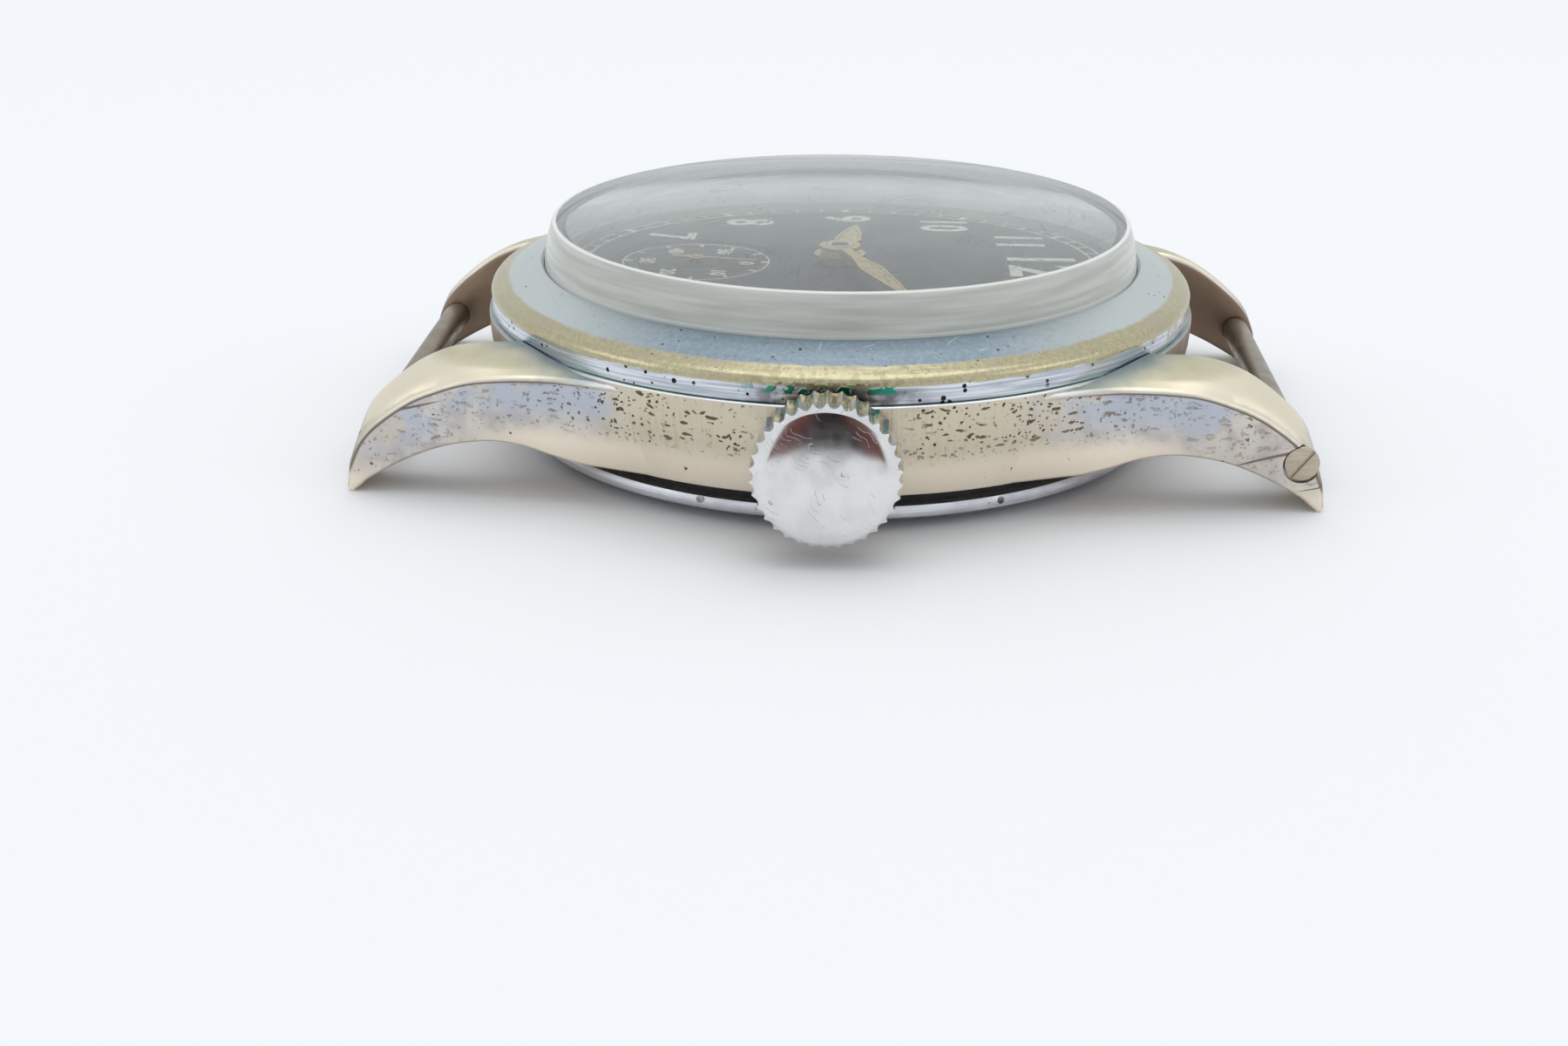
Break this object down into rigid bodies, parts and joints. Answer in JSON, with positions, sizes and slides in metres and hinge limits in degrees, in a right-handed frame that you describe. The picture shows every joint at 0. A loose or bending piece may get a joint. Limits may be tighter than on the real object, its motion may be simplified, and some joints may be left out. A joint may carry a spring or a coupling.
{
  "type": "hand-wound wristwatch head",
  "caption": "Round hand-wound watch without its strap: lugs with screwed bars, raised domed crystal, black numbered dial, small seconds, lever movement.",
  "frame": {"origin": "on the table under the middle of the case back, on the axis of the hands", "axes": "+Z out of the dial, +Y towards twelve o'clock, +X along the winding stem towards the crown"},
  "size_m": [0.0369, 0.044, 0.0113],
  "materials": {
    "plated_case": "worn nickel plating, brushed, brass showing through",
    "bezel_brass": "worn plating, satin",
    "acrylic": "clear acrylic, lightly hazed",
    "back_steel": "brushed",
    "polished_steel": "polished, finely scratched",
    "steel": "ground",
    "gilt_brass": "gilt",
    "nickel": "nickel plated, striped",
    "blued_steel": "blued",
    "rubber": "black",
    "dial_black": "matt black, white printing",
    "luminous_paint": "aged luminous paint in a thin metal frame"
  },
  "bodies": {
    "case": {"pallet_cock": "nickel", "pallet_cock_screw_1": "blued_steel", "pallet_cock_screw_2": "blued_steel", "main_plate": "nickel", "barrel_bridge": "nickel", "train_bridge": "nickel", "balance_cock": "nickel", "barrel_bridge_screw_1": "blued_steel", "barrel_bridge_screw_2": "blued_steel", "barrel_bridge_screw_3": "blued_steel", "train_bridge_screw_1": "blued_steel", "train_bridge_screw_2": "blued_steel", "train_bridge_screw_3": "blued_steel", "balance_cock_screw": "blued_steel", "crown_wheel_screw": "blued_steel", "mid_case": "plated_case", "bezel": "bezel_brass", "crystal": "acrylic", "case_back": "back_steel", "back_gasket": "rubber", "strap_bar_12": "steel", "strap_bar_6": "steel", "crown_tube": "steel", "movement_ring": "nickel", "dial": "dial_black"},
    "centre_wheel": {"centre_wheel": "gilt_brass", "cannon_pinion": "steel", "minute_hand": "luminous_paint"},
    "third_wheel": {"third_wheel": "gilt_brass"},
    "fourth_wheel": {"fourth_wheel": "gilt_brass", "seconds_hand": "luminous_paint"},
    "escape_wheel": {"escape_wheel": "steel"},
    "barrel": {"barrel_drum": "gilt_brass", "barrel_lid": "gilt_brass", "mainspring": "blued_steel"},
    "minute_wheel": {"minute_wheel": "gilt_brass"},
    "hour_wheel": {"hour_wheel": "gilt_brass", "hour_hand": "luminous_paint"},
    "setting_wheel": {"setting_wheel": "steel"},
    "winding_pinion": {"winding_pinion": "steel"},
    "stem_and_crown": {"crown": "polished_steel", "winding_stem": "steel", "crown_gasket": "rubber"},
    "sliding_clutch": {"sliding_clutch": "steel"},
    "crown_wheel": {"crown_wheel": "steel"},
    "ratchet": {"ratchet_wheel": "steel", "ratchet_screw": "blued_steel", "barrel_arbor": "steel"},
    "setting_lever": {"setting_lever": "steel"},
    "yoke": {"yoke": "steel"},
    "balance": {"balance_wheel": "gilt_brass", "hairspring": "blued_steel"},
    "pallets": {"pallet_fork": "steel"},
    "click": {"click": "steel"}
  },
  "joints": [
    {"name": "minute_hand_run", "type": "hinge", "parent": "case", "child": "centre_wheel", "pos_m": [0, 0, 0], "axis": [0, 0, -1], "continuous": true},
    {"name": "third_wheel_run", "type": "hinge", "parent": "case", "child": "third_wheel", "pos_m": [0.00181, -0.00412, 0], "axis": [0, 0, -1], "continuous": true},
    {"name": "seconds_hand_run", "type": "hinge", "parent": "case", "child": "fourth_wheel", "pos_m": [0, -0.007, 0], "axis": [0, 0, -1], "continuous": true},
    {"name": "escape_wheel_run", "type": "hinge", "parent": "case", "child": "escape_wheel", "pos_m": [-0.0031, -0.00813, 0], "axis": [0, 0, -1], "continuous": true},
    {"name": "barrel_run", "type": "hinge", "parent": "case", "child": "barrel", "pos_m": [0.00361, 0.00516, 0], "axis": [0, 0, -1], "continuous": true},
    {"name": "minute_wheel_run", "type": "hinge", "parent": "case", "child": "minute_wheel", "pos_m": [0.00275, -0.00193, 0], "axis": [0, 0, -1], "continuous": true},
    {"name": "hour_hand_run", "type": "hinge", "parent": "case", "child": "hour_wheel", "pos_m": [0, 0, 0], "axis": [0, 0, -1], "continuous": true},
    {"name": "setting_wheel_run", "type": "hinge", "parent": "case", "child": "setting_wheel", "pos_m": [0.00617, 0, 0], "axis": [0, 0, -1], "continuous": true},
    {"name": "crown_turn", "type": "hinge", "parent": "case", "child": "winding_pinion", "pos_m": [0, 0, 0.0041], "axis": [1, 0, 0], "continuous": true},
    {"name": "crown_pull", "type": "slide", "parent": "winding_pinion", "child": "stem_and_crown", "axis": [1, 0, 0], "range_m": [0, 0.001]},
    {"name": "clutch_slide", "type": "slide", "parent": "winding_pinion", "child": "sliding_clutch", "axis": [1, 0, 0], "range_m": [-0.001, 0]},
    {"name": "crown_wheel_turn", "type": "hinge", "parent": "case", "child": "crown_wheel", "pos_m": [0.009, 0, 0], "axis": [0, 0, 1], "continuous": true},
    {"name": "ratchet_turn", "type": "hinge", "parent": "case", "child": "ratchet", "pos_m": [0.00361, 0.00516, 0], "axis": [0, 0, 1], "continuous": true},
    {"name": "setting_lever_rock", "type": "hinge", "parent": "case", "child": "setting_lever", "pos_m": [0.01195, -0.0036, 0], "axis": [0, 0, 1], "range_deg": [-15.92, 0]},
    {"name": "yoke_rock", "type": "hinge", "parent": "case", "child": "yoke", "pos_m": [0.00904, -0.0039, 0], "axis": [0, 0, 1], "range_deg": [0, 16.37]},
    {"name": "balance_swing", "type": "hinge", "parent": "case", "child": "balance", "pos_m": [-0.0073, -0.0022, 0], "axis": [0, 0, 1], "range_deg": [-270, 270], "stiffness_Nm_per_rad": 0.00000008},
    {"name": "pallet_rock", "type": "hinge", "parent": "case", "child": "pallets", "pos_m": [-0.00483, -0.00568, 0], "axis": [0, 0, 1], "range_deg": [-5, 5]},
    {"name": "click_rock", "type": "hinge", "parent": "case", "child": "click", "pos_m": [-0.00248, 0.00569, 0], "axis": [0, 0, 1], "range_deg": [0, 12], "stiffness_Nm_per_rad": 0.000002}
  ],
  "couplings": [
    {"joint": "third_wheel_run", "follows": "minute_hand_run", "ratio": -8},
    {"joint": "seconds_hand_run", "follows": "minute_hand_run", "ratio": 60},
    {"joint": "escape_wheel_run", "follows": "minute_hand_run", "ratio": -600},
    {"joint": "barrel_run", "follows": "minute_hand_run", "ratio": -0.16667},
    {"joint": "minute_wheel_run", "follows": "minute_hand_run", "ratio": -0.33333},
    {"joint": "hour_hand_run", "follows": "minute_hand_run", "ratio": 0.083333},
    {"joint": "setting_wheel_run", "follows": "minute_hand_run", "ratio": 0.6},
    {"joint": "crown_wheel_turn", "follows": "crown_turn", "ratio": 0.5},
    {"joint": "ratchet_turn", "follows": "crown_turn", "ratio": -0.29787},
    {"joint": "clutch_slide", "follows": "crown_pull", "ratio": -1},
    {"joint": "setting_lever_rock", "follows": "crown_pull", "rad_per_m": -277.8},
    {"joint": "yoke_rock", "follows": "crown_pull", "rad_per_m": 285.7}
  ]
}
